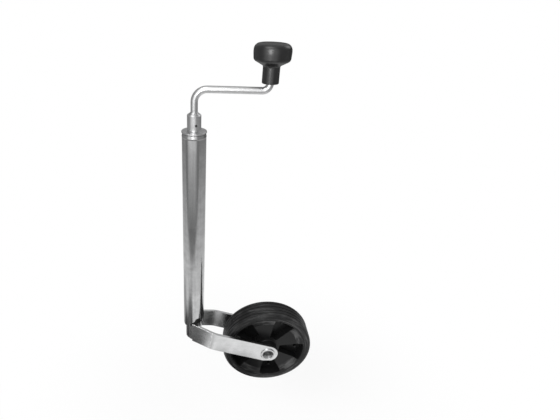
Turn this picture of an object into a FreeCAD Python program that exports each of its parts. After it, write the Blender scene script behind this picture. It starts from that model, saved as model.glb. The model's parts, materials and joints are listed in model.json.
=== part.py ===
import FreeCAD, Part
import math
import os
from FreeCAD import Vector

# Jockey wheel, wound right up. Lengths are in millimetres and angles in degrees. Heights are above
# the ground that the wheel runs on. X runs from the tube to the wheel, and the axle lies along Y.
clamp_height = 305.0

# Outer tube, which the trailer's clamp grips
outer_diameter = 35.0
outer_wall = 2.0
outer_length = 357.2
bell_flare = 0.3
bell_height = 7.0
bell_rise = 1.5
bell_round = 2.0
bell_draw = 0.9
mouth_height = 3.0
mouth_edge = 1.0
forming_radius = 3.0
mouth_round = 2.0

# Inner tube, which the screw drives down
inner_gap = 1.5
inner_wall = 2.0
inner_tail = 1.6
slide_clearance = 0.3

# Notches in the outer tube's foot, where the fork arms seat, and the slopes that lead into them
notch_left = 2.3
notch_width = 9.5
notch_depth = 22.8
notch_head_room = 13.6
lead_in_rear_height = 17.4
lead_in_front_height = 13.4
lead_in_front_drop = 5.2

# Head cap and thrust washers
cap_rim = 0.65
cap_thickness = 2.2
cap_spigot_length = 12.0
cap_edge = 0.4
washer_gap = 2.0
plastic_washer_thickness = 2.0
steel_washer_thickness = 1.6

# Clearances between pieces that turn on each other, and between pieces that are fixed together,
# and how far a cut runs on past the face that it opens
running_clearance = 0.06
seat_clearance = 0.03
overrun = 1.0

# Lead screw and nut
shank_diameter = 12.0
shoulder_diameter = 22.0
shoulder_thickness = 5.0
shoulder_edge = 1.0
thread_diameter = 16.0
travel = 200.0
wound_up_gap = 3.0
nut_length = 24.0
nut_edge = 1.0
nut_flange_thickness = 4.0
nut_flange_edge = 0.8
stop_ring_side_gap = 1.5
stop_ring_thickness = 1.8
stop_groove_depth = 1.4
stop_ring_gap = 0.5
screw_tail = 4.0
screw_tip_chamfer = 1.5

# Crank: collar, roll pin and bent rod
collar_diameter = 20.0
collar_height = 24.0
collar_chamfer = 1.6
collar_foot_edge = 0.6
shank_in_collar = 15.0
roll_pin_diameter = 4.0
roll_pin_wall = 0.8
roll_pin_slot = 0.8
roll_pin_inset = 0.2
roll_pin_height = 9.5
roll_pin_azimuth = -72.0
rod_diameter = 10.0
crank_rise = 34.3
crank_radius = 102.0
first_bend_radius = 18.0
second_bend_radius = 10.0
rod_tip_chamfer = 1.0
weld_leg = 3.0
weld_crown = 0.45
weld_round = 1.8

# Knob
neck_diameter = 23.0
neck_length = 23.0
neck_foot_edge = 1.0
knob_diameter = 50.6
underside_rise = 7.0
side_height = 21.5
underside_edge = 5.0
underside_root = 3.0
knob_side_draw = 0.8
knob_side_round = 24.0
knob_top_edge = 8.5
knob_cap_diameter = 29.0
knob_cap_thickness = 3.0
knob_cap_dome = 0.6
retainer_diameter = 18.0
retainer_thickness = 1.0
retainer_recess_depth = 12.0
retainer_gap = 0.3
retainer_side_gap = 1.0
rod_above_retainer = 1.5

# Fork arms, each bent from flat steel
arm_thickness = 4.5
arm_width = 36.0
arm_slope = 16.35
arm_start = -2.5
outer_bend = 36.0
fork_gap = 6.5
bend_radius = 40.0
bend_lean = 10.0
arm_edge = 0.6
shortest_eased_edge = 3.6

# Weld beads between the arms and the inner tube
bead_end_gap = 0.8
bead_inset = 2.0
rear_bead_width = 5.0
rear_bead_toe = 0.8
rear_bead_crown = (3.4, 2.6)
rear_bead_round = 4.0
rear_bead_heel = 1.6
front_bead_start = 2.0
front_bead_width = 6.0
front_bead_side = 5.0
front_bead_depth = 3.4
front_bead_rise = 4.0

# Wheel
wheel_radius = 80.0
wheel_width = 40.0
wheel_offset = 134.0
tyre_thickness = 11.0
rim_inset = 1.6
rim_edge = 0.5
rim_lip = 1.2
rim_groove_width = 24.0
rim_groove_depth = 1.0
rim_groove_edge = 0.4
hub_diameter = 35.0
hub_edge = 1.0
hub_root = 1.5
web_recess = 3.4
bevel_width = 13.5
bevel_root = 2.0
pocket_count = 5
pocket_phase = 63.5
pocket_angle = 35.0
pocket_hub_gap = 5.5
pocket_rim_wall = 2.0
pocket_draft = 2.0
pocket_corner = 2.0
pocket_floor = 4.0
boss_diameter = 5.0
boss_height = 5.0
boss_hub_distance = 55.0
boss_edge = 0.6
shoulder_radius = 6.0
tread_groove_count = 4
tread_groove_pitch = 7.4
tread_groove_width = 1.8
tread_groove_floor = 0.9
tread_groove_depth = 1.2
sidewall_step = 4.0
sidewall_round = 1.5

# Axle: a tube that is flared over both arms, and the washers beside the hub
axle_diameter = 20.0
axle_wall = 2.0
flare_diameter = 26.0
flare_height = 2.0
flare_bore = 17.2
flare_foot_edge = 0.5
flare_crown = 1.3
flare_lip = 1.4
flare_lip_edge = 0.7
flare_mouth_round = 6.0
side_washer_diameter = 30.0
side_washer_thickness = 1.0
side_washer_gap = 0.15

# Worked out from the values above
outer_radius = outer_diameter / 2
outer_bore = outer_radius - outer_wall
inner_radius = outer_bore - inner_gap
inner_bore = inner_radius - inner_wall
shank_radius = shank_diameter / 2
thread_radius = thread_diameter / 2
rod_radius = rod_diameter / 2
collar_radius = collar_diameter / 2
washer_radius = outer_bore - washer_gap
stop_ring_radius = inner_bore - stop_ring_side_gap
groove_radius = thread_radius - stop_groove_depth
slope = math.tan(math.radians(arm_slope))
arm_half_height = arm_width / 2 / math.cos(math.radians(arm_slope))
notch_middle = notch_left + notch_width / 2
notch_top = wheel_radius + (wheel_offset - notch_middle) * slope + arm_half_height + notch_head_room
outer_foot = notch_top - notch_depth
outer_head = outer_foot + outer_length
inner_foot = wheel_radius + (wheel_offset - arm_start) * slope - arm_half_height - inner_tail
cap_top = outer_head + cap_thickness
cap_foot = outer_head - cap_spigot_length
plastic_washer_foot = cap_foot - plastic_washer_thickness
steel_washer_foot = plastic_washer_foot - steel_washer_thickness
thread_head = steel_washer_foot - shoulder_thickness
nut_head = thread_head - wound_up_gap
inner_head = nut_head - nut_flange_thickness
nut_foot = inner_head - nut_length
stop_ring_head = nut_foot - travel - stop_ring_gap
screw_foot = stop_ring_head - stop_ring_thickness - screw_tail
shank_head = cap_top + shank_in_collar
collar_head = cap_top + collar_height
arm_height = collar_head + crank_rise
knob_foot = arm_height + second_bend_radius
neck_head = knob_foot + neck_length
side_foot = neck_head + underside_rise
knob_top = side_foot + side_height
cap_seat = knob_top - knob_cap_thickness
recess_floor = cap_seat - retainer_recess_depth
retainer_foot = recess_floor + retainer_gap
rod_head = retainer_foot + retainer_thickness + rod_above_retainer
axle_radius = axle_diameter / 2
half_wheel = wheel_width / 2
half_rim = half_wheel - rim_inset
rim_radius = wheel_radius - tyre_thickness
pocket_inner_radius = hub_diameter / 2 + pocket_hub_gap
pocket_outer_radius = rim_radius - pocket_rim_wall
pocket_foot_radius = pocket_outer_radius - pocket_draft
fork_inside = half_wheel + fork_gap
half_fork = fork_inside + arm_thickness
fork_width = half_fork * 2
hub_half_width = fork_inside - side_washer_thickness - 2 * side_washer_gap


def upright(across, up):
    return Vector(across, 0, up)


def level(along, aside):
    return Vector(along, aside, 0)


def face_of(corners, place):
    """A flat face from corners of (a, b) or (a, b, radius), where a radius rounds its corner."""
    points = [place(corner[0], corner[1]) for corner in corners]
    starts = []
    ends = []
    arcs = []
    for index, corner in enumerate(corners):
        point = points[index]
        if len(corner) == 2:
            starts.append(point)
            ends.append(point)
            arcs.append(None)
            continue
        before = (points[index - 1] - point).normalize()
        after = (points[(index + 1) % len(points)] - point).normalize()
        half = before.getAngle(after) / 2
        reach = corner[2] / math.tan(half)
        inward = (before + after).normalize()
        middle = point + inward * (corner[2] / math.sin(half) - corner[2])
        starts.append(point + before * reach)
        ends.append(point + after * reach)
        arcs.append(middle)
    edges = []
    for index in range(len(corners)):
        if arcs[index] is not None:
            edges.append(Part.Arc(starts[index], arcs[index], ends[index]).toShape())
        following = (index + 1) % len(corners)
        if ends[index].distanceToPoint(starts[following]) > 1e-6:
            edges.append(Part.LineSegment(ends[index], starts[following]).toShape())
    return Part.Face(Part.Wire(edges))


def turned(corners):
    """A solid turned about the Z axis from corners of (radius, height)."""
    return face_of(corners, upright).revolve(Vector(0, 0, 0), Vector(0, 0, 1), 360)


def ring(inside, outside, foot, head):
    return turned([(inside, foot), (outside, foot), (outside, head), (inside, head)])


def rod_between(radius, foot, head):
    return Part.makeCylinder(radius, head - foot, Vector(0, 0, foot))


def on_axle(shape):
    """Lays a piece that was turned about Z onto the axle, with its upper end towards -Y."""
    laid = shape.copy()
    laid.rotate(Vector(0, 0, 0), Vector(1, 0, 0), 90)
    laid.translate(Vector(wheel_offset, 0, wheel_radius))
    return laid


def mirrored(shape):
    """The same piece on the other side of the object's middle plane."""
    return shape.mirror(Vector(0, 0, 0), Vector(0, 1, 0))


def arm_middle(along):
    """Height of a fork arm's middle line at a distance from the tube's axis."""
    return wheel_radius + (wheel_offset - along) * slope


def arm_top(along):
    return arm_middle(along) + arm_half_height


def arm_bottom(along):
    return arm_middle(along) - arm_half_height


def make_outer_tube():
    mouth_bore = inner_radius + slide_clearance
    mouth_radius = mouth_bore + outer_wall
    bell_foot = outer_head - bell_height
    tube = turned([
        (mouth_bore, outer_foot),
        (mouth_radius, outer_foot, mouth_edge),
        (outer_radius, outer_foot + mouth_height, mouth_round),
        (outer_radius, bell_foot, forming_radius),
        (outer_radius + bell_flare, bell_foot + bell_rise, bell_round),
        (outer_radius + bell_flare - bell_draw, outer_head),
        (outer_bore, outer_head),
        (outer_bore, outer_foot + mouth_height + outer_wall, mouth_round),
    ])
    return tube.cut(notch_cutter())


def notch_cutter():
    """The notch through both walls: sloping lead-ins from the tube's foot, then a round-topped slot."""
    notch_right = notch_left + notch_width
    front_head = outer_foot + lead_in_front_height
    below = outer_foot - overrun
    beside = outer_radius + overrun
    front_slope = lead_in_front_drop / (outer_radius - notch_right)
    outline = face_of([
        (-outer_radius, outer_foot),
        (-outer_radius, below),
        (beside, below),
        (beside, front_head - lead_in_front_drop - overrun * front_slope),
        (notch_right, front_head),
        (notch_right, notch_top, notch_width / 2),
        (notch_left, notch_top, notch_width / 2),
        (notch_left, outer_foot + lead_in_rear_height),
    ], upright)
    return outline.translated(Vector(0, -outer_diameter, 0)).extrude(Vector(0, 2 * outer_diameter, 0))


def make_head_cap():
    flange_radius = outer_radius + cap_rim
    spigot_radius = outer_bore - seat_clearance
    bore = shank_radius + running_clearance
    return turned([
        (bore, cap_foot),
        (spigot_radius, cap_foot),
        (spigot_radius, outer_head),
        (flange_radius, outer_head, cap_edge),
        (flange_radius, cap_top, cap_edge * 2),
        (bore, cap_top),
    ])


def make_lead_screw():
    groove_foot = stop_ring_head - stop_ring_thickness
    screw = turned([
        (0, screw_foot),
        (thread_radius - screw_tip_chamfer, screw_foot),
        (thread_radius, screw_foot + screw_tip_chamfer),
        (thread_radius, groove_foot),
        (groove_radius, groove_foot),
        (groove_radius, stop_ring_head),
        (thread_radius, stop_ring_head),
        (thread_radius, thread_head),
        (shoulder_diameter / 2, thread_head, shoulder_edge),
        (shoulder_diameter / 2, steel_washer_foot),
        (shank_radius, steel_washer_foot),
        (shank_radius, shank_head),
        (0, shank_head),
    ])
    return screw.cut(pin_hole())


def pin_axis_shape(radius, length):
    """A cylinder through the collar, along the roll pin's own axis."""
    direction = Vector(math.cos(math.radians(roll_pin_azimuth)), math.sin(math.radians(roll_pin_azimuth)), 0)
    middle = Vector(0, 0, cap_top + roll_pin_height)
    return Part.makeCylinder(radius, length, middle - direction * (length / 2), direction)


def pin_hole():
    return pin_axis_shape(roll_pin_diameter / 2 + seat_clearance, collar_diameter * 2)


def make_roll_pin():
    outside = pin_axis_shape(roll_pin_diameter / 2, collar_diameter - 2 * roll_pin_inset)
    inside = pin_axis_shape(roll_pin_diameter / 2 - roll_pin_wall, collar_diameter * 2)
    slot = Part.makeBox(collar_diameter * 2, roll_pin_slot, roll_pin_diameter,
                        Vector(-collar_diameter, -roll_pin_slot / 2, cap_top + roll_pin_height))
    slot.rotate(Vector(0, 0, 0), Vector(0, 0, 1), roll_pin_azimuth)
    return outside.cut(inside).cut(slot)


def make_crank_collar():
    rod_bore = rod_radius + seat_clearance
    shank_bore = shank_radius + seat_clearance
    collar = turned([
        (shank_bore, cap_top),
        (collar_radius, cap_top, collar_foot_edge),
        (collar_radius, collar_head - collar_chamfer),
        (collar_radius - collar_chamfer, collar_head),
        (rod_bore, collar_head),
        (rod_bore, shank_head),
        (shank_bore, shank_head),
    ])
    return collar.cut(pin_hole())


def make_crank_weld():
    start = rod_radius + seat_clearance
    corner = face_of([
        (start, collar_head),
        (start + weld_leg, collar_head),
        (start + weld_leg * weld_crown, collar_head + weld_leg * weld_crown, weld_round),
        (start, collar_head + weld_leg),
    ], upright)
    return corner.revolve(Vector(0, 0, 0), Vector(0, 0, 1), 360)


def make_crank_handle():
    bend_out = arm_height - first_bend_radius
    bend_up = crank_radius - second_bend_radius
    quarter = math.sqrt(0.5)
    path = Part.Wire([
        Part.LineSegment(Vector(0, 0, shank_head), Vector(0, 0, bend_out)).toShape(),
        Part.Arc(
            Vector(0, 0, bend_out),
            Vector(first_bend_radius * (1 - quarter), 0, bend_out + first_bend_radius * quarter),
            Vector(first_bend_radius, 0, arm_height),
        ).toShape(),
        Part.LineSegment(Vector(first_bend_radius, 0, arm_height), Vector(bend_up, 0, arm_height)).toShape(),
        Part.Arc(
            Vector(bend_up, 0, arm_height),
            Vector(bend_up + second_bend_radius * quarter, 0, knob_foot - second_bend_radius * quarter),
            Vector(crank_radius, 0, knob_foot),
        ).toShape(),
        Part.LineSegment(Vector(crank_radius, 0, knob_foot), Vector(crank_radius, 0, rod_head)).toShape(),
    ])
    section = Part.Wire(Part.makeCircle(rod_radius, Vector(0, 0, shank_head), Vector(0, 0, 1)))
    handle = path.makePipeShell([section], True, False)
    tip = [edge for edge in handle.Edges if edge.BoundBox.ZMin > rod_head - 0.01]
    return handle.makeChamfer(rod_tip_chamfer, tip)


def make_knob():
    bore = rod_radius + running_clearance
    recess_radius = retainer_diameter / 2 + retainer_side_gap
    knob = turned([
        (bore, knob_foot),
        (neck_diameter / 2, knob_foot, neck_foot_edge),
        (neck_diameter / 2, neck_head, underside_root),
        (knob_diameter / 2 - knob_side_draw, side_foot, underside_edge),
        (knob_diameter / 2, (side_foot + knob_top) / 2, knob_side_round),
        (knob_diameter / 2 - knob_side_draw, knob_top, knob_top_edge),
        (knob_cap_diameter / 2, knob_top),
        (knob_cap_diameter / 2, cap_seat),
        (recess_radius, cap_seat),
        (recess_radius, recess_floor),
        (bore, recess_floor),
    ])
    return knob.translated(Vector(crank_radius, 0, 0))


def make_knob_cap():
    radius = knob_cap_diameter / 2 - seat_clearance
    dome_radius = (radius ** 2 + knob_cap_dome ** 2) / (2 * knob_cap_dome)
    dome_centre = knob_top + knob_cap_dome - dome_radius
    half = math.asin(radius / dome_radius) / 2
    profile = [
        Part.LineSegment(upright(0, cap_seat), upright(radius, cap_seat)).toShape(),
        Part.LineSegment(upright(radius, cap_seat), upright(radius, knob_top)).toShape(),
        Part.Arc(
            upright(radius, knob_top),
            upright(dome_radius * math.sin(half), dome_centre + dome_radius * math.cos(half)),
            upright(0, knob_top + knob_cap_dome),
        ).toShape(),
        Part.LineSegment(upright(0, knob_top + knob_cap_dome), upright(0, cap_seat)).toShape(),
    ]
    cap = Part.Face(Part.Wire(profile)).revolve(Vector(0, 0, 0), Vector(0, 0, 1), 360)
    return cap.translated(Vector(crank_radius, 0, 0))


def make_knob_retainer():
    washer = ring(rod_radius + seat_clearance, retainer_diameter / 2,
                  retainer_foot, retainer_foot + retainer_thickness)
    return washer.translated(Vector(crank_radius, 0, 0))


def make_inner_tube():
    return ring(inner_bore, inner_radius, inner_foot, inner_head)


def make_screw_nut():
    thread_bore = thread_radius + running_clearance
    return turned([
        (thread_bore, nut_foot),
        (inner_bore - seat_clearance, nut_foot, nut_edge),
        (inner_bore - seat_clearance, inner_head),
        (outer_bore - slide_clearance, inner_head),
        (outer_bore - slide_clearance, nut_head, nut_flange_edge),
        (thread_bore, nut_head),
    ])


def arm_flare():
    """The angle between an arm's first run and X, at which its upper corner just touches the inner tube."""
    bend = outer_bend + (arm_top(arm_start) - arm_middle(outer_bend)) * math.tan(math.radians(bend_lean))
    reach = math.hypot(bend, fork_inside)
    return math.atan2(fork_inside, bend) - math.asin((inner_radius + seat_clearance) / reach)


def arm_plan():
    """The front arm seen from above: a straight run that flares from the tube, and one along the wheel."""
    flare = arm_flare()
    shift = arm_thickness * math.tan(flare / 2)
    near_end = arm_start - arm_width
    far_end = wheel_offset + arm_width
    near_side = fork_inside - (outer_bend - near_end) * math.tan(flare)
    return face_of([
        (near_end, -near_side),
        (outer_bend, -fork_inside, bend_radius),
        (far_end, -fork_inside),
        (far_end, -half_fork),
        (outer_bend - shift, -half_fork, bend_radius + arm_thickness),
        (near_end, -near_side - arm_thickness / math.cos(flare)),
    ], level)


def arm_outline():
    """The arm seen from the side: straight edges that fall to the axle, and a round end about it."""
    along = Vector(math.cos(math.radians(arm_slope)), 0, -math.sin(math.radians(arm_slope)))
    across = Vector(-along.z, 0, along.x)
    axle = Vector(wheel_offset, 0, wheel_radius)
    upper = axle + across * (arm_width / 2)
    lower = axle - across * (arm_width / 2)
    start_top = Vector(arm_start, 0, arm_top(arm_start))
    start_bottom = Vector(arm_start, 0, arm_bottom(arm_start))
    return Part.Face(Part.Wire([
        Part.LineSegment(start_bottom, start_top).toShape(),
        Part.LineSegment(start_top, upper).toShape(),
        Part.Arc(upper, axle + along * (arm_width / 2), lower).toShape(),
        Part.LineSegment(lower, start_bottom).toShape(),
    ]))


def make_fork_arm():
    lean = math.radians(bend_lean)
    foot = inner_foot - arm_width
    height = arm_width * 4
    bend_middle = arm_middle(outer_bend)
    plan = arm_plan().translated(Vector((foot - bend_middle) * math.tan(lean), 0, foot))
    strip = plan.extrude(Vector(height * math.tan(lean), 0, height))
    outline = arm_outline().translated(Vector(0, -fork_width, 0))
    arm = strip.common(outline.extrude(Vector(0, fork_width, 0)))
    hole = on_axle(rod_between(axle_radius + seat_clearance, -fork_width, fork_width))
    return arm.cut(hole)


def rounded_arm(arm):
    """The arm with its long edges and its round end eased, and the axle's hole left sharp."""
    hole_size = 2 * (axle_radius + seat_clearance) + arm_edge
    edges = []
    for edge in arm.Edges:
        box = edge.BoundBox
        on_hole = max(box.XLength, box.ZLength) < hole_size and min(box.XLength, box.ZLength) > axle_radius
        if edge.Length > shortest_eased_edge and box.XLength > 2 * arm_edge and not on_hole:
            edges.append(edge)
    return arm.makeFillet(arm_edge, edges)


def weld_bead(corners, foot, head):
    bead = face_of(corners, level).translated(Vector(0, 0, foot)).extrude(Vector(0, 0, head - foot))
    return bead.cut(rod_between(inner_radius + seat_clearance, foot - overrun, head + overrun))


def make_fork_welds():
    """Four upright beads: one behind each arm's end and one in the corner ahead of the tube."""
    foot = arm_bottom(arm_start) + bead_end_gap
    head = arm_top(arm_start) - bead_end_gap
    rear_end = arm_start - rear_bead_width
    lead_in_slope = lead_in_rear_height / (notch_left + outer_radius)
    rear_head = outer_foot + (rear_end + outer_radius) * lead_in_slope - 2 * bead_end_gap
    rear_start = arm_start - seat_clearance
    arm_face = -inner_radius - arm_thickness
    rear_bead = weld_bead([
        (rear_start, -inner_radius + bead_inset),
        (rear_start, arm_face + rear_bead_toe),
        (arm_start - rear_bead_crown[0], arm_face + rear_bead_crown[1], rear_bead_round),
        (rear_end, -inner_radius + rear_bead_heel),
    ], foot, rear_head)
    front_end = front_bead_start + front_bead_width
    front_bead = weld_bead([
        (front_bead_start, -inner_radius + bead_inset),
        (front_bead_start, -inner_radius - front_bead_side),
        (front_end, -inner_radius - front_bead_side),
        (front_end, -inner_radius + front_bead_depth),
    ], foot + front_bead_rise, head - front_bead_rise)
    beads = [rear_bead, front_bead.cut(make_fork_arm())]
    return Part.makeCompound(beads + [mirrored(bead) for bead in beads])


def make_axle_tube():
    bore = axle_radius - axle_wall
    lip = half_fork + flare_height
    half = [
        (bore, 0),
        (axle_radius, 0),
        (axle_radius, half_fork + seat_clearance),
        (flare_diameter / 2, half_fork + seat_clearance, flare_foot_edge),
        (flare_diameter / 2, lip, flare_crown),
        (flare_bore / 2 + flare_lip, lip, flare_lip_edge),
        (bore, fork_inside, flare_mouth_round),
    ]
    upper = turned(half)
    lower = upper.mirror(Vector(0, 0, 0), Vector(0, 0, 1))
    return on_axle(upper.fuse(lower).removeSplitter())


def make_side_washer():
    head = fork_inside - side_washer_gap
    return on_axle(ring(axle_radius + running_clearance, side_washer_diameter / 2,
                        head - side_washer_thickness, head))


def make_rim_blank():
    half_groove = rim_groove_width / 2
    groove_floor = rim_radius - rim_groove_depth
    bore = axle_radius + running_clearance
    web_height = half_rim - web_recess
    upper = [
        (rim_radius - rim_lip, half_rim, rim_edge),
        (rim_radius - bevel_width, web_height, bevel_root),
        (hub_diameter / 2, web_height, hub_root),
        (hub_diameter / 2, hub_half_width, hub_edge),
        (bore, hub_half_width),
    ]
    lower = [(corner[0], -corner[1]) + corner[2:] for corner in reversed(upper)]
    barrel = [
        (rim_radius, -half_rim, rim_edge),
        (rim_radius, -half_groove, rim_groove_edge),
        (groove_floor, -half_groove + rim_groove_depth),
        (groove_floor, half_groove - rim_groove_depth),
        (rim_radius, half_groove, rim_groove_edge),
        (rim_radius, half_rim, rim_edge),
    ]
    return turned(barrel + upper + lower)


def pocket_cutter():
    """One pocket, open outwards: a sector between two radii, with a draft on its outer wall."""
    half = math.radians(pocket_angle / 2)
    foot = pocket_floor / 2
    depth = half_rim - foot
    reach = rim_radius * math.tan(half)
    fan = face_of([(0, 0), (rim_radius, -reach), (rim_radius, reach)], level)
    fan = fan.translated(Vector(0, 0, foot)).extrude(Vector(0, 0, depth))
    band = Part.makeCone(pocket_foot_radius, pocket_outer_radius, depth, Vector(0, 0, foot))
    band = band.cut(rod_between(pocket_inner_radius, foot, half_rim))
    band.rotate(Vector(0, 0, 0), Vector(0, 0, 1), 180)
    pocket = fan.common(band)
    corners = [edge for edge in pocket.Edges if edge.BoundBox.ZLength > depth / 2]
    return pocket.makeFillet(pocket_corner, corners)


def make_pocket_boss():
    boss = turned([
        (0, 0),
        (boss_diameter / 2, 0),
        (boss_diameter / 2, pocket_floor / 2 + boss_height, boss_edge),
        (0, pocket_floor / 2 + boss_height),
    ])
    return boss.translated(Vector(boss_hub_distance, 0, 0))


def make_wheel_rim():
    rim = make_rim_blank()
    pocket = pocket_cutter().cut(make_pocket_boss())
    for index in range(pocket_count):
        turn = pocket_phase + index * 360.0 / pocket_count
        upper = pocket.copy()
        upper.rotate(Vector(0, 0, 0), Vector(0, 0, 1), turn)
        lower = upper.mirror(Vector(0, 0, 0), Vector(0, 0, 1))
        rim = rim.cut(upper).cut(lower)
    return on_axle(rim)


def make_tyre():
    half_groove = rim_groove_width / 2
    seat = rim_radius + seat_clearance
    rib = seat - rim_groove_depth
    section = [
        (seat, half_rim),
        (seat, half_groove),
        (rib, half_groove - rim_groove_depth),
        (rib, rim_groove_depth - half_groove),
        (seat, -half_groove),
        (seat, -half_rim),
        (seat + sidewall_step, -half_wheel, sidewall_round),
        (wheel_radius, -half_wheel, shoulder_radius),
    ]
    first = -tread_groove_pitch * (tread_groove_count - 1) / 2
    for index in range(tread_groove_count):
        middle = first + index * tread_groove_pitch
        section.append((wheel_radius, middle - tread_groove_width / 2))
        section.append((wheel_radius - tread_groove_depth, middle - tread_groove_floor / 2))
        section.append((wheel_radius - tread_groove_depth, middle + tread_groove_floor / 2))
        section.append((wheel_radius, middle + tread_groove_width / 2))
    section.append((wheel_radius, half_wheel, shoulder_radius))
    section.append((seat + sidewall_step, half_wheel, sidewall_round))
    return on_axle(turned(section))


def save(name, shape):
    """Writes one piece, lowered so that the frame's origin is on the tube's axis at the clamp."""
    shape.translated(Vector(0, 0, -clamp_height)).exportStep("parts/" + name + ".step")


def main():
    os.makedirs("parts", exist_ok=True)
    shank_bore = shank_radius + running_clearance
    fork_arm = rounded_arm(make_fork_arm())
    side_washer = make_side_washer()
    pieces = {
        "outer_tube": make_outer_tube(),
        "head_cap": make_head_cap(),
        "thrust_washer_plastic": ring(shank_bore, washer_radius, plastic_washer_foot, cap_foot),
        "thrust_washer_steel": ring(shank_bore, washer_radius, steel_washer_foot, plastic_washer_foot),
        "lead_screw": make_lead_screw(),
        "end_stop_ring": ring(groove_radius + seat_clearance, stop_ring_radius,
                              stop_ring_head - stop_ring_thickness, stop_ring_head),
        "crank_collar": make_crank_collar(),
        "roll_pin": make_roll_pin(),
        "crank_weld": make_crank_weld(),
        "crank_handle": make_crank_handle(),
        "knob_retainer": make_knob_retainer(),
        "knob": make_knob(),
        "knob_cap": make_knob_cap(),
        "inner_tube": make_inner_tube(),
        "screw_nut": make_screw_nut(),
        "fork_arm_front": fork_arm,
        "fork_arm_rear": mirrored(fork_arm),
        "fork_welds": make_fork_welds(),
        "axle_tube": make_axle_tube(),
        "side_washer_front": side_washer,
        "side_washer_rear": mirrored(side_washer),
        "wheel_rim": make_wheel_rim(),
        "tyre": make_tyre(),
    }
    for name, shape in pieces.items():
        save(name, shape)


main()
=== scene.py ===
import json
import math

import bmesh
import bpy
from mathutils import Matrix, Vector

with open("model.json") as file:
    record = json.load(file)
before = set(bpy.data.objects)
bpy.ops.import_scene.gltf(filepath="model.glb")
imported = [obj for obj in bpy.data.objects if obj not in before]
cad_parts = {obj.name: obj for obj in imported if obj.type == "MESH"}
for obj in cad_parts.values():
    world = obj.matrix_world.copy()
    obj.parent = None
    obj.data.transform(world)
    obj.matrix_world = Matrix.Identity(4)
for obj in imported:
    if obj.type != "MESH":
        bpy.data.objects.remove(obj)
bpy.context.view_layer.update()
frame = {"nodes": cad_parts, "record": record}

# The axle's middle, the height of the wheel's foot, and how far the leg winds out, in metres
AXLE = Vector((0.134, 0.0, -0.225))
WHEEL_FOOT = -0.305
LEG_TRAVEL = 0.2

# Camera: its place, the way that it faces in degrees, and its frame in pixels
CAMERA_PLACE = (0.0182, -0.5370, 0.3554)
CAMERA_YAW = 2.45
CAMERA_PITCH = -25.97
CAMERA_ROLL = 1.98
FRAME_WIDTH = 560
FOCAL_PIXELS = 395.7
PICTURE_CENTRE = (280.0, 210.0)
OPTICAL_CENTRE = (221.4, 186.9)
SENSOR_WIDTH = 36.0

WHITE = (1.0, 1.0, 1.0, 1.0)

# Floor: how far it reaches, its gap under the wheel, its tone, how white it is beside the object, and at
# which distances from the axle that starts to rise and is full
FLOOR_REACH = 1.7
FLOOR_GAP = 0.0005
FLOOR_TONE = 0.8
FLOOR_LEAST_WHITE = 0.75
FLOOR_FADE = (0.15, 0.6)

# The way that the mirrored room's front lies, and between which cosines its sides turn into its front
ROOM_FRONT = (-0.292, -0.956, 0.0)
FRONT_SPREAD = (0.62, 0.88)

# What metal mirrors from below: a bright table with its edge ahead of the tube, and past that a bright
# wall between two dark sides. Tones are stops of (share of the reach, brightness).
TABLE_REACH = 2.0
TABLE_EDGE = 0.38
TABLE_EDGE_BLUR = 0.03
TABLE_EDGE_SPREAD = (0.15, 0.5)
TABLE_TONES = ((0.0, 1.0), (0.1, 0.88), (0.15, 0.75), (0.225, 0.6), (0.3, 0.5), (0.5, 0.36),
               (0.7, 0.28), (1.0, 0.2))
WALL_TONES = ((0.19, 0.16), (0.28, 0.18), (0.34, 0.32), (0.42, 0.4), (0.5, 0.42), (0.55, 0.46),
              (0.62, 0.6), (0.8, 0.95))
SIDE_TONE = 0.2

# Dim spots on the table: (middle, radius of the core, radius of the rim, brightness left in the core)
GLOOMS = (
    ((-0.12, 0.0), 0.045, 0.1, 0.1),
    ((-0.105, -0.12), 0.05, 0.14, 0.15),
    ((-0.05, -0.135), 0.03, 0.055, 0.4),
    ((-0.15, 0.1), 0.05, 0.2, 0.5),
    ((0.09, -0.05), 0.038, 0.05, 0.0),
    ((0.045, -0.08), 0.02, 0.036, 0.12),
)

# A gleam that runs along the table: its slant across it, half widths of its core and rim, its strength,
# and between which depths its front end rises and its rear end falls
GLEAM_SLANT = 0.2
GLEAM_HALF_WIDTHS = (0.002, 0.011)
GLEAM_STRENGTH = 1.4
GLEAM_FRONT_END = (-0.27, -0.14)
GLEAM_REAR_END = (-0.12, -0.1)

# The room above the table: its brightness each way, and where its back turns into its sides, the low
# part of its back into the rest, and its walls into its ceiling
ROOM_AHEAD = 0.95
ROOM_SIDES = 0.28
ROOM_BEHIND = 0.45
ROOM_LOW_BEHIND = 0.12
ROOM_ABOVE = 0.55
BACK_SPREAD = (-0.8, -0.3)
LOW_SPREAD = (0.2, 0.36)
CEILING_SPREAD = (0.85, 0.97)

# Soft glows overhead that only gloss shows: (way, cosines of rim and core, strength)
GLOWS = (((-0.31, -0.3, 0.9), 0.93, 0.985, 1.8), ((0.7, 0.45, 0.55), 0.965, 0.99, 1.3))

# Lamps: (name, place, what it faces, width and height, watts, whether gloss mirrors it)
SOFTBOXES = (
    ("key_softbox", (-1.1, -0.9, 1.2), (0.05, 0.0, 0.0), (1.0, 1.0), 20.0, False),
    ("fill_softbox", (1.3, -0.5, 0.9), (0.05, 0.0, 0.0), (0.8, 1.2), 9.0, False),
    ("top_softbox", (0.1, 0.7, 1.6), (0.05, 0.0, 0.0), (1.4, 0.9), 12.0, False),
    ("strip_softbox", (-0.075, -0.48, 0.4), (0.1, 0.0, 0.29), (0.17, 0.42), 1.15, True),
)

# How deep a bump of full height is
BUMP_DEPTH = 0.0002

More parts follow.
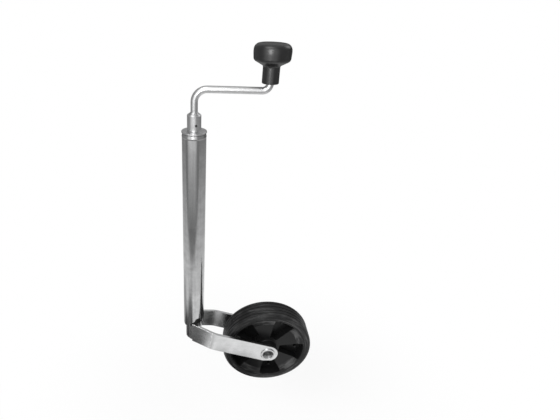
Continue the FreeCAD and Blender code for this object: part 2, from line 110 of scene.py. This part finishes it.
# How fine the zinc's pits, the painted shade's blotches and the streaks' patches are, between which values
# of their noise streaks and patches rise, and how softly the streaks end outwards and sideways
PIT_FINENESS = 900.0
BLOTCH_FINENESS = 180.0
PATCH_FINENESS = 26.0
STREAK_RISE = (0.42, 0.66)
PATCH_RISE = (0.36, 0.6)
STREAK_END = 0.001
STREAK_SIDE_END = 0.0003


# Node helpers

def new_material(name):
    material = bpy.data.materials.new(name)
    material.use_nodes = True
    return material


def surface_of(material):
    return material.node_tree.nodes["Principled BSDF"]


def new_group(name, inputs, outputs):
    """A shader node group with named sockets. Inputs are (name, kind, default)."""
    tree = bpy.data.node_groups.new(name, "ShaderNodeTree")
    for label, kind, default in inputs:
        socket = tree.interface.new_socket(label, in_out="INPUT", socket_type="NodeSocket" + kind)
        socket.default_value = default
    for label, kind in outputs:
        tree.interface.new_socket(label, in_out="OUTPUT", socket_type="NodeSocket" + kind)
    return tree, tree.nodes.new("NodeGroupInput").outputs, tree.nodes.new("NodeGroupOutput").inputs


def put(tree, kind, **settings):
    """Adds a node with its own settings, and with its sockets set to values or linked to other sockets."""
    node = tree.nodes.new("ShaderNode" + kind)
    sockets = settings.pop("sockets", {})
    for label, value in settings.items():
        setattr(node, label, value)
    for label, value in sockets.items():
        if isinstance(value, bpy.types.NodeSocket):
            tree.links.new(value, node.inputs[label])
        else:
            node.inputs[label].default_value = value
    return node


def maths(tree, operation, first, second=0.0, third=0.0):
    node = put(tree, "Math", operation=operation)
    for index, value in enumerate((first, second, third)):
        if isinstance(value, bpy.types.NodeSocket):
            tree.links.new(value, node.inputs[index])
        else:
            node.inputs[index].default_value = value
    return node.outputs[0]


def mapped(tree, value, low, high, start=0.0, end=1.0):
    """A smooth step from start to end, as the value goes from low to high."""
    node = put(tree, "MapRange", interpolation_type="SMOOTHSTEP", sockets={
        "Value": value, "From Min": low, "From Max": high, "To Min": start, "To Max": end})
    return node.outputs["Result"]


def blended(tree, share, first, second):
    return put(tree, "Mix", data_type="FLOAT", sockets={0: share, 2: first, 3: second}).outputs[0]


def noise(tree, place, scale, detail, roughness=0.5):
    node = put(tree, "TexNoise", sockets={
        "Vector": place, "Scale": scale, "Detail": detail, "Roughness": roughness})
    return node.outputs["Fac"]


def vector_maths(tree, operation, first, second):
    return put(tree, "VectorMath", operation=operation, sockets={0: first, 1: second}).outputs[0]


def dot(tree, first, second):
    return put(tree, "VectorMath", operation="DOT_PRODUCT", sockets={0: first, 1: second}).outputs["Value"]


def distance(tree, place, point):
    return put(tree, "VectorMath", operation="DISTANCE", sockets={0: place, 1: point}).outputs["Value"]


def scaled(tree, colour, factor):
    return put(tree, "VectorMath", operation="SCALE", sockets={0: colour, "Scale": factor}).outputs[0]


def lightened(tree, colour, amount):
    """Adds one amount to all of a colour's channels."""
    node = put(tree, "VectorMath", operation="ADD", sockets={0: colour})
    tree.links.new(amount, node.inputs[1])
    return node.outputs[0]


# Finishes that several pieces share

def zinc_plate_group():
    """Bright zinc plate: cloudy patches, fine lines along the way the steel was worked, and small pits."""
    tree, given, result = new_group("zinc_plate", [
        ("Place", "Vector", (0.0, 0.0, 0.0)),
        ("Plate", "Color", (0.5, 0.5, 0.5, 1.0)),
        ("Line Scale", "Vector", (1.0, 1.0, 1.0)),
        ("Line Depth", "Float", 0.1),
        ("Cloud Fineness", "Float", 40.0),
        ("Cloud Depth", "Float", 0.1),
        ("Wave", "Float", 0.0),
        ("Roughness", "Float", 0.3),
    ], [("Color", "Color"), ("Roughness", "Float"), ("Height", "Float")])
    stretched = vector_maths(tree, "MULTIPLY", given["Place"], given["Line Scale"])
    lines = noise(tree, stretched, 1.0, detail=3.0, roughness=0.6)
    clouds = noise(tree, given["Place"], given["Cloud Fineness"], detail=4.0, roughness=0.55)
    pits = noise(tree, given["Place"], PIT_FINENESS, detail=2.0)
    line_part = maths(tree, "MULTIPLY", maths(tree, "SUBTRACT", lines, 0.5), given["Line Depth"])
    cloud_part = maths(tree, "MULTIPLY", maths(tree, "SUBTRACT", clouds, 0.5), given["Cloud Depth"])
    tone = maths(tree, "ADD", maths(tree, "ADD", line_part, cloud_part), 1.0)
    tree.links.new(scaled(tree, given["Plate"], tone), result["Color"])
    rough = maths(tree, "SUBTRACT", given["Roughness"], maths(tree, "MULTIPLY", cloud_part, 0.6))
    tree.links.new(rough, result["Roughness"])
    fine = maths(tree, "MULTIPLY_ADD", lines, given["Line Depth"], maths(tree, "MULTIPLY", pits, 0.04))
    tree.links.new(maths(tree, "MULTIPLY_ADD", clouds, given["Wave"], fine), result["Height"])
    return tree


def moulded_group():
    """Moulded plastic or rubber: a fine grain, faint flow clouds, and a little dust."""
    tree, given, result = new_group("moulded", [
        ("Place", "Vector", (0.0, 0.0, 0.0)),
        ("Base", "Color", (0.03, 0.03, 0.03, 1.0)),
        ("Grain Fineness", "Float", 1200.0),
        ("Cloud Fineness", "Float", 30.0),
        ("Cloud Depth", "Float", 0.3),
        ("Roughness", "Float", 0.45),
        ("Dust", "Float", 0.02),
    ], [("Color", "Color"), ("Roughness", "Float"), ("Height", "Float")])
    grain = noise(tree, given["Place"], given["Grain Fineness"], detail=3.0, roughness=0.6)
    clouds = noise(tree, given["Place"], given["Cloud Fineness"], detail=5.0, roughness=0.6)
    cloud_part = maths(tree, "MULTIPLY", maths(tree, "SUBTRACT", clouds, 0.5), given["Cloud Depth"])
    base = scaled(tree, given["Base"], maths(tree, "ADD", 1.0, cloud_part))
    specks = maths(tree, "MULTIPLY", maths(tree, "POWER", grain, 3.0), given["Dust"])
    tree.links.new(lightened(tree, base, specks), result["Color"])
    rough = maths(tree, "ADD", given["Roughness"], maths(tree, "MULTIPLY", cloud_part, 0.4))
    tree.links.new(rough, result["Roughness"])
    tree.links.new(grain, result["Height"])
    return tree


def painted_shade_group():
    """Painted shade: a dark band about one height, blotchy along its edges."""
    tree, given, result = new_group("painted_shade_band", [
        ("Place", "Vector", (0.0, 0.0, 0.0)),
        ("Unshaded", "Color", (0.5, 0.5, 0.5, 1.0)),
        ("Height", "Float", 0.0),
        ("Half Width", "Float", 0.01),
        ("Blur", "Float", 0.001),
        ("Left Over", "Float", 0.2),
    ], [("Color", "Color")])
    height = put(tree, "SeparateXYZ", sockets={0: given["Place"]}).outputs["Z"]
    blotches = noise(tree, given["Place"], BLOTCH_FINENESS, detail=2.0)
    apart = maths(tree, "ABSOLUTE", maths(tree, "SUBTRACT", height, given["Height"]))
    past = maths(tree, "DIVIDE", maths(tree, "SUBTRACT", apart, given["Half Width"]), given["Blur"])
    untouched = mapped(tree, maths(tree, "ADD", past, blotches), 0.2, 1.2)
    kept = blended(tree, untouched, given["Left Over"], 1.0)
    tree.links.new(scaled(tree, given["Unshaded"], kept), result["Color"])
    return tree


def streaks_group():
    """Lighter streaks that run round a wheel, in patches: partly dust and wear, partly painted sheen."""
    tree, given, result = new_group("streaks", [
        ("Place", "Vector", (0.0, 0.0, 0.0)),
        ("Base", "Color", (0.03, 0.03, 0.03, 1.0)),
        ("Fineness", "Float", 400.0),
        ("Dust", "Float", 0.03),
        ("Inner Radius", "Float", 0.0),
        ("Outer Radius", "Float", 1.0),
        ("Least Side", "Float", 0.0),
    ], [("Color", "Color")])
    spoke = vector_maths(tree, "SUBTRACT", given["Place"], tuple(AXLE))
    apart = put(tree, "SeparateXYZ", sockets={0: spoke}).outputs
    flat = put(tree, "CombineXYZ", sockets={"X": apart["X"], "Z": apart["Z"]}).outputs[0]
    radius = put(tree, "VectorMath", operation="LENGTH", sockets={0: flat}).outputs["Value"]
    round_way = put(tree, "VectorMath", operation="NORMALIZE", sockets={0: flat}).outputs[0]
    turned = put(tree, "SeparateXYZ", sockets={0: round_way}).outputs
    along = put(tree, "CombineXYZ", sockets={
        "X": maths(tree, "MULTIPLY", turned["X"], 2.0),
        "Y": maths(tree, "MULTIPLY", apart["Y"], given["Fineness"]),
        "Z": maths(tree, "MULTIPLY", turned["Z"], 2.0)}).outputs[0]
    lines = put(tree, "TexNoise", noise_dimensions="4D", sockets={
        "Vector": along, "W": maths(tree, "MULTIPLY", radius, given["Fineness"]),
        "Scale": 1.0, "Detail": 3.0, "Roughness": 0.65}).outputs["Fac"]
    patches = noise(tree, given["Place"], PATCH_FINENESS, detail=2.0)
    wear_and_sheen = maths(tree, "MULTIPLY", mapped(tree, lines, *STREAK_RISE), mapped(tree, patches, *PATCH_RISE))
    inner_end = maths(tree, "SUBTRACT", given["Inner Radius"], STREAK_END)
    outer_end = maths(tree, "ADD", given["Outer Radius"], STREAK_END)
    within = maths(tree, "MULTIPLY", mapped(tree, radius, inner_end, given["Inner Radius"]),
                   mapped(tree, radius, given["Outer Radius"], outer_end, 1.0, 0.0))
    out = maths(tree, "SUBTRACT", maths(tree, "ABSOLUTE", apart["Y"]), given["Least Side"])
    side = mapped(tree, out, -STREAK_SIDE_END, 0.0)
    dust = maths(tree, "MULTIPLY", maths(tree, "MULTIPLY", wear_and_sheen, within),
                 maths(tree, "MULTIPLY", side, given["Dust"]))
    tree.links.new(lightened(tree, given["Base"], dust), result["Color"])
    return tree


ZINC = zinc_plate_group()
MOULDED = moulded_group()
# Painted shade: dark bands about one height, blotchy along their edges
PAINTED_SHADE = painted_shade_group()
# Lighter streaks round the wheel: partly dust and wear, partly painted sheen
STREAKS = streaks_group()

finishes = {}


def add_finish(name, group, values, metallic, bump, specular=0.5):
    """Adds the material of one slot, with its colour, roughness and height from a shared finish."""
    material = new_material(name)
    tree = material.node_tree
    surface = surface_of(material)
    place = put(tree, "TexCoord").outputs["Object"]
    finish = tree.nodes.new("ShaderNodeGroup")
    finish.node_tree = group
    tree.links.new(place, finish.inputs["Place"])
    for label, value in values.items():
        finish.inputs[label].default_value = value
    tree.links.new(finish.outputs["Color"], surface.inputs["Base Color"])
    tree.links.new(finish.outputs["Roughness"], surface.inputs["Roughness"])
    relief = put(tree, "Bump", sockets={
        "Strength": bump, "Distance": BUMP_DEPTH, "Height": finish.outputs["Height"]})
    tree.links.new(relief.outputs["Normal"], surface.inputs["Normal"])
    surface.inputs["Metallic"].default_value = metallic
    surface.inputs["Specular IOR Level"].default_value = specular
    finishes[name] = material


def overlay(name, group, untouched, values):
    """Lays one more shared effect over a finish's colour, which goes into its socket named by clean."""
    tree = finishes[name].node_tree
    colour = surface_of(finishes[name]).inputs["Base Color"]
    layer = tree.nodes.new("ShaderNodeGroup")
    layer.node_tree = group
    tree.links.new(tree.nodes["Texture Coordinate"].outputs["Object"], layer.inputs["Place"])
    tree.links.new(colour.links[0].from_socket, layer.inputs[untouched])
    for label, value in values.items():
        layer.inputs[label].default_value = value
    tree.links.new(layer.outputs["Color"], colour)


def zinc(name, tone, lines, line_depth, clouds, roughness, wave=1.0, bump=0.3):
    """Zinc plate. Lines are how close its lines lie along X, Y and Z, and clouds are (fineness, depth)."""
    add_finish(name, ZINC, {
        "Plate": (tone * 0.995, tone, tone * 1.005, 1.0),
        "Line Scale": lines,
        "Line Depth": line_depth,
        "Cloud Fineness": clouds[0],
        "Cloud Depth": clouds[1],
        "Wave": wave,
        "Roughness": roughness,
    }, 1.0, bump)


def moulding(name, tone, grain, cloud_depth, roughness, dust, bump=0.3, specular=0.5):
    """Moulded plastic or rubber. Grain is how fine its grain is, and dust how bright its specks are."""
    add_finish(name, MOULDED, {
        "Base": (tone, tone, tone * 1.03, 1.0),
        "Grain Fineness": grain,
        "Cloud Depth": cloud_depth,
        "Roughness": roughness,
        "Dust": dust,
    }, 0.0, bump, specular)


zinc("zinc_tube", 0.60, lines=(260.0, 260.0, 9.0), line_depth=0.45, clouds=(80.0, 0.5),
     roughness=0.19, wave=0.25, bump=0.2)
zinc("zinc_inner_tube", 0.50, lines=(220.0, 220.0, 3.0), line_depth=0.35, clouds=(55.0, 0.25),
     roughness=0.28)
zinc("zinc_flat", 0.76, lines=(40.0, 300.0, 300.0), line_depth=0.15, clouds=(60.0, 0.28),
     roughness=0.23, wave=0.05, bump=0.06)
zinc("zinc_turned", 0.68, lines=(4.0, 4.0, 900.0), line_depth=0.2, clouds=(140.0, 0.35),
     roughness=0.36, wave=0.1, bump=0.1)
zinc("zinc_rod", 0.72, lines=(200.0, 200.0, 200.0), line_depth=0.12, clouds=(160.0, 0.35),
     roughness=0.36, wave=0.15, bump=0.2)
zinc("zinc_axle", 0.74, lines=(300.0, 40.0, 300.0), line_depth=0.1, clouds=(90.0, 0.15),
     roughness=0.3, wave=0.3, bump=0.2)
zinc("zinc_weld", 0.62, lines=(300.0, 300.0, 300.0), line_depth=0.5, clouds=(220.0, 0.4),
     roughness=0.3, wave=3.0, bump=0.8)
zinc("screw_steel", 0.35, lines=(400.0, 400.0, 400.0), line_depth=0.2, clouds=(60.0, 0.3),
     roughness=0.35)
moulding("washer_plastic", 0.75, grain=1200.0, cloud_depth=0.1, roughness=0.5, dust=0.0)
moulding("grip_plastic", 0.005, grain=1500.0, cloud_depth=0.25, roughness=0.3, dust=0.003,
         bump=0.05, specular=0.9)
moulding("rim_plastic", 0.006, grain=900.0, cloud_depth=0.3, roughness=0.33, dust=0.004,
         bump=0.3, specular=0.22)
moulding("tyre_rubber", 0.007, grain=1100.0, cloud_depth=0.5, roughness=0.42, dust=0.008,
         bump=0.4, specular=0.28)

# Painted shade: a dark line in the seam under the head cap, and a dark band round the inner tube for the
# shade in the notch
overlay("zinc_tube", PAINTED_SHADE, "Unshaded", {
    "Height": 0.1783, "Half Width": 0.0003, "Blur": 0.0006, "Left Over": 0.3})
overlay("zinc_inner_tube", PAINTED_SHADE, "Unshaded", {
    "Height": -0.161, "Half Width": 0.0095, "Blur": 0.003, "Left Over": 0.18})

# Lighter streaks on the tread and sidewall, and on the rim's lip beside the tyre: partly wear and dust,
# partly painted sheen
overlay("tyre_rubber", STREAKS, "Base", {
    "Fineness": 420.0, "Dust": 0.045, "Inner Radius": 0.07, "Outer Radius": 0.2})
overlay("rim_plastic", STREAKS, "Base", {
    "Fineness": 130.0, "Dust": 0.075, "Inner Radius": 0.0555, "Outer Radius": 0.067,
    "Least Side": 0.0151})


def dress_nodes():
    """Gives each CAD node the finish of its material slot."""
    for part in frame["record"]["subparts"]:
        node = frame["nodes"][part["node"]]
        node.data.materials.clear()
        node.data.materials.append(finishes[part["material_slot"]])


dress_nodes()


# Studio: floor, light and camera

def ramp(tree, value, stops):
    """A grey that runs through (position, brightness) stops."""
    node = tree.nodes.new("ShaderNodeValToRGB")
    node.color_ramp.interpolation = "EASE"
    points = node.color_ramp.elements
    while len(points) < len(stops):
        points.new(1.0)
    for point, (position, tone) in zip(points, stops):
        point.position = position
        point.color = (tone, tone, tone, 1.0)
    tree.links.new(value, node.inputs["Fac"])
    return node.outputs["Color"]


def facing_front(tree, way):
    """How far a direction, seen from above, faces the front: 1 straight ahead, and -1 behind."""
    flat = vector_maths(tree, "MULTIPLY", way, (1.0, 1.0, 0.0))
    level = put(tree, "VectorMath", operation="NORMALIZE", sockets={0: flat}).outputs[0]
    return dot(tree, level, ROOM_FRONT)


def table_gleam(tree, place):
    """How bright the gleam along the table is at a place."""
    apart = put(tree, "SeparateXYZ", sockets={0: place}).outputs
    aside = maths(tree, "ABSOLUTE", maths(tree, "MULTIPLY_ADD", apart["Y"], -GLEAM_SLANT, apart["X"]))
    core, rim = GLEAM_HALF_WIDTHS
    gleam = maths(tree, "MULTIPLY", mapped(tree, aside, core, rim, GLEAM_STRENGTH, 0.0),
                  mapped(tree, apart["Y"], *GLEAM_FRONT_END))
    return maths(tree, "MULTIPLY", gleam, mapped(tree, apart["Y"], *GLEAM_REAR_END, 1.0, 0.0))


def mirrored_room(tree, place):
    """What polished metal sees: the table to its edge, and past it a bright wall between dark sides."""
    reach = maths(tree, "DIVIDE", distance(tree, place, (0.0, 0.0, WHEEL_FOOT)), TABLE_REACH)
    ahead = dot(tree, place, ROOM_FRONT)
    facing = facing_front(tree, place)
    past_edge = maths(tree, "MULTIPLY",
                      mapped(tree, ahead, TABLE_EDGE - TABLE_EDGE_BLUR, TABLE_EDGE + TABLE_EDGE_BLUR),
                      mapped(tree, facing, *TABLE_EDGE_SPREAD))
    wall = put(tree, "Mix", data_type="RGBA", sockets={
        0: mapped(tree, facing, *FRONT_SPREAD), 6: (SIDE_TONE, SIDE_TONE, SIDE_TONE, 1.0),
        7: ramp(tree, reach, WALL_TONES)}).outputs[2]
    room = put(tree, "Mix", data_type="RGBA", sockets={
        0: past_edge, 6: ramp(tree, reach, TABLE_TONES), 7: wall}).outputs[2]
    shade = 1.0
    for (along, aside), core, rim, left in GLOOMS:
        away = distance(tree, place, (along, aside, WHEEL_FOOT))
        shade = maths(tree, "MULTIPLY", shade, mapped(tree, away, core, rim, left, 1.0))
    return lightened(tree, scaled(tree, room, shade), table_gleam(tree, place))


def floor_material():
    """Plain pale floor, white to the camera and to metal, that keeps the object's shadow."""
    material = new_material("studio_floor")
    tree = material.node_tree
    surface = surface_of(material)
    surface.inputs["Base Color"].default_value = (FLOOR_TONE, FLOOR_TONE, FLOOR_TONE, 1.0)
    surface.inputs["Roughness"].default_value = 0.9
    surface.inputs["Specular IOR Level"].default_value = 0.1
    place = put(tree, "TexCoord").outputs["Object"]
    away = distance(tree, place, (AXLE.x, AXLE.y, WHEEL_FOOT - LEG_TRAVEL))
    ray = put(tree, "LightPath").outputs
    seen = maths(tree, "MAXIMUM", maths(tree, "MAXIMUM", ray["Is Camera Ray"], ray["Is Glossy Ray"]),
                 ray["Is Transmission Ray"])
    share = maths(tree, "MULTIPLY", seen, mapped(tree, away, *FLOOR_FADE, FLOOR_LEAST_WHITE, 1.0))
    white = put(tree, "Emission", sockets={"Color": WHITE, "Strength": 1.0})
    lit = put(tree, "MixShader", sockets={0: share, 1: surface.outputs[0], 2: white.outputs[0]})
    tree.links.new(lit.outputs[0], tree.nodes["Material Output"].inputs["Surface"])
    return material


def mirror_card_material():
    """The room that metal mirrors from above, and nothing at all from below."""
    material = new_material("mirror_card")
    tree = material.node_tree
    tree.nodes.remove(surface_of(material))
    place = put(tree, "TexCoord").outputs["Object"]
    room = put(tree, "Emission", sockets={"Color": mirrored_room(tree, place), "Strength": 1.0})
    clear = put(tree, "BsdfTransparent")
    seen = put(tree, "MixShader", sockets={
        0: put(tree, "NewGeometry").outputs["Backfacing"], 1: room.outputs[0], 2: clear.outputs[0]})
    tree.links.new(seen.outputs[0], tree.nodes["Material Output"].inputs["Surface"])
    return material


def make_plane(name, height, material):
    mesh = bpy.data.meshes.new(name)
    grid = bmesh.new()
    bmesh.ops.create_grid(grid, x_segments=1, y_segments=1, size=FLOOR_REACH,
                          matrix=Matrix.Translation((0.0, 0.0, height)))
    grid.to_mesh(mesh)
    grid.free()
    plane = bpy.data.objects.new(name, mesh)
    bpy.context.scene.collection.objects.link(plane)
    mesh.materials.append(material)
    return plane


def make_floor():
    """The floor lies where the wheel stands when the leg is wound right out."""
    make_plane("studio_floor", WHEEL_FOOT - LEG_TRAVEL - FLOOR_GAP, floor_material())


def make_mirror_card():
    """A card at the foot of the wheel that only gloss sees."""
    card = make_plane("mirror_card", WHEEL_FOOT - FLOOR_GAP, mirror_card_material())
    card.visible_camera = False
    card.visible_diffuse = False
    card.visible_shadow = False
    card.visible_transmission = False


def make_softbox(name, place, target, size, watts, mirrored):
    lamp = bpy.data.lights.new(name, "AREA")
    lamp.shape = "RECTANGLE"
    lamp.size, lamp.size_y = size
    lamp.energy = watts
    box = bpy.data.objects.new(name, lamp)
    bpy.context.scene.collection.objects.link(box)
    box.location = place
    box.rotation_euler = (Vector(target) - Vector(place)).to_track_quat("-Z", "Y").to_euler()
    box.visible_camera = False
    box.visible_glossy = mirrored


def make_world():
    """White to the camera. To the rest, a room with a bright front, plain sides and a soft light ahead."""
    world = bpy.data.worlds.new("studio_room")
    bpy.context.scene.world = world
    world.use_nodes = True
    tree = world.node_tree
    way = put(tree, "TexCoord").outputs["Generated"]
    facing = facing_front(tree, way)
    up = put(tree, "SeparateXYZ", sockets={0: way}).outputs["Z"]
    back = mapped(tree, up, *LOW_SPREAD, ROOM_LOW_BEHIND, ROOM_BEHIND)
    behind = mapped(tree, facing, *BACK_SPREAD, back, ROOM_SIDES)
    level = blended(tree, mapped(tree, facing, *FRONT_SPREAD), behind, ROOM_AHEAD)
    room = blended(tree, mapped(tree, up, *CEILING_SPREAD), level, ROOM_ABOVE)
    gloss = 0.0
    for glow, rim, core, strength in GLOWS:
        gloss = maths(tree, "ADD", gloss, mapped(tree, dot(tree, way, glow), rim, core, 0.0, strength))
    ray = put(tree, "LightPath").outputs
    lit = maths(tree, "MULTIPLY_ADD", gloss, ray["Is Glossy Ray"], room)
    seen = blended(tree, ray["Is Camera Ray"], lit, 1.0)
    tree.links.new(seen, tree.nodes["Background"].inputs["Strength"])
    tree.nodes["Background"].inputs["Color"].default_value = WHITE


def make_camera():
    yaw, pitch, roll = (math.radians(angle) for angle in (CAMERA_YAW, CAMERA_PITCH, CAMERA_ROLL))
    forward = Vector((
        math.sin(yaw) * math.cos(pitch), math.cos(yaw) * math.cos(pitch), math.sin(pitch)))
    level_right = Vector((math.cos(yaw), -math.sin(yaw), 0.0))
    level_up = level_right.cross(forward)
    right = level_right * math.cos(roll) + level_up * math.sin(roll)
    up = level_up * math.cos(roll) - level_right * math.sin(roll)
    lens = bpy.data.cameras.new("photo_view")
    lens.sensor_width = SENSOR_WIDTH
    lens.lens = FOCAL_PIXELS / FRAME_WIDTH * SENSOR_WIDTH
    lens.shift_x = (PICTURE_CENTRE[0] - OPTICAL_CENTRE[0]) / FRAME_WIDTH
    lens.shift_y = (OPTICAL_CENTRE[1] - PICTURE_CENTRE[1]) / FRAME_WIDTH
    camera = bpy.data.objects.new("photo_view", lens)
    bpy.context.scene.collection.objects.link(camera)
    turn = Matrix((right, up, -forward)).transposed().to_4x4()
    camera.matrix_world = Matrix.Translation(CAMERA_PLACE) @ turn
    bpy.context.scene.camera = camera


make_floor()
make_mirror_card()
for softbox in SOFTBOXES:
    make_softbox(*softbox)
make_world()
make_camera()
bpy.context.scene.view_settings.view_transform = "Standard"
